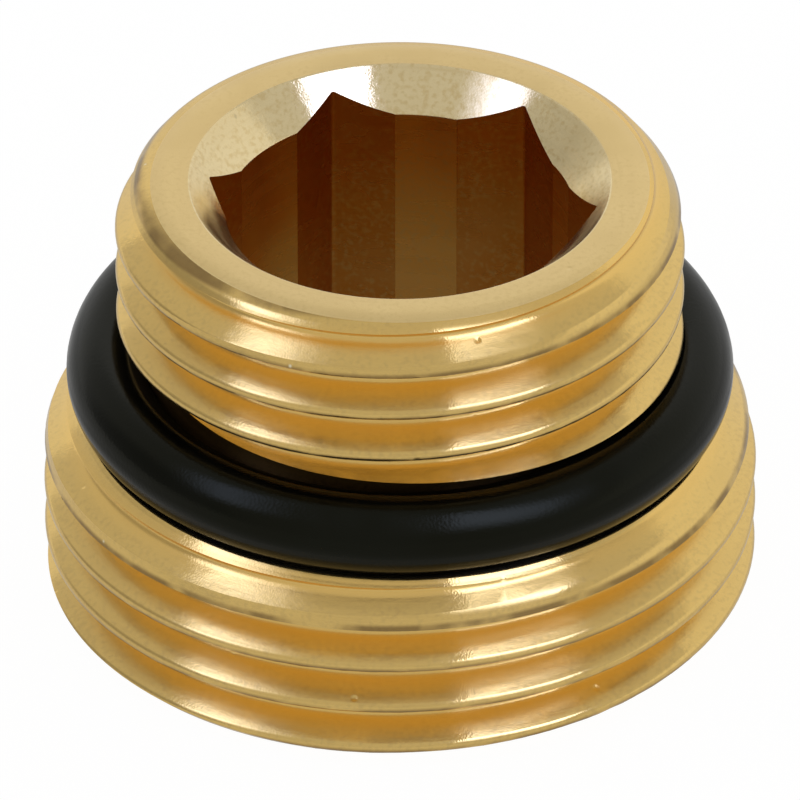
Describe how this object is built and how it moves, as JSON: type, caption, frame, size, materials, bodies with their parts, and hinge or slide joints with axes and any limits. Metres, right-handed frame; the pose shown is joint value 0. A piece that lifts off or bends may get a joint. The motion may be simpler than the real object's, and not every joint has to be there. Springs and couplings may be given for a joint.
{
  "type": "radiator reducer",
  "caption": "Turned brass double nipple that joins a wide male pipe thread to a narrow one, with a hexagon key socket through it and a rubber sealing ring on the neck.",
  "frame": {"origin": "middle of the foot, the flat end of the wide thread that the part stands on", "axes": "+Z along the part's axis towards the narrow thread, -Y towards the camera of the picture"},
  "size_m": [0.0264, 0.0264, 0.017],
  "materials": {
    "brass": "turned, bright with fine tool marks",
    "rubber": "satin black"
  },
  "bodies": {
    "root": {"reducer_body": "brass", "o_ring": "rubber"}
  },
  "joints": []
}
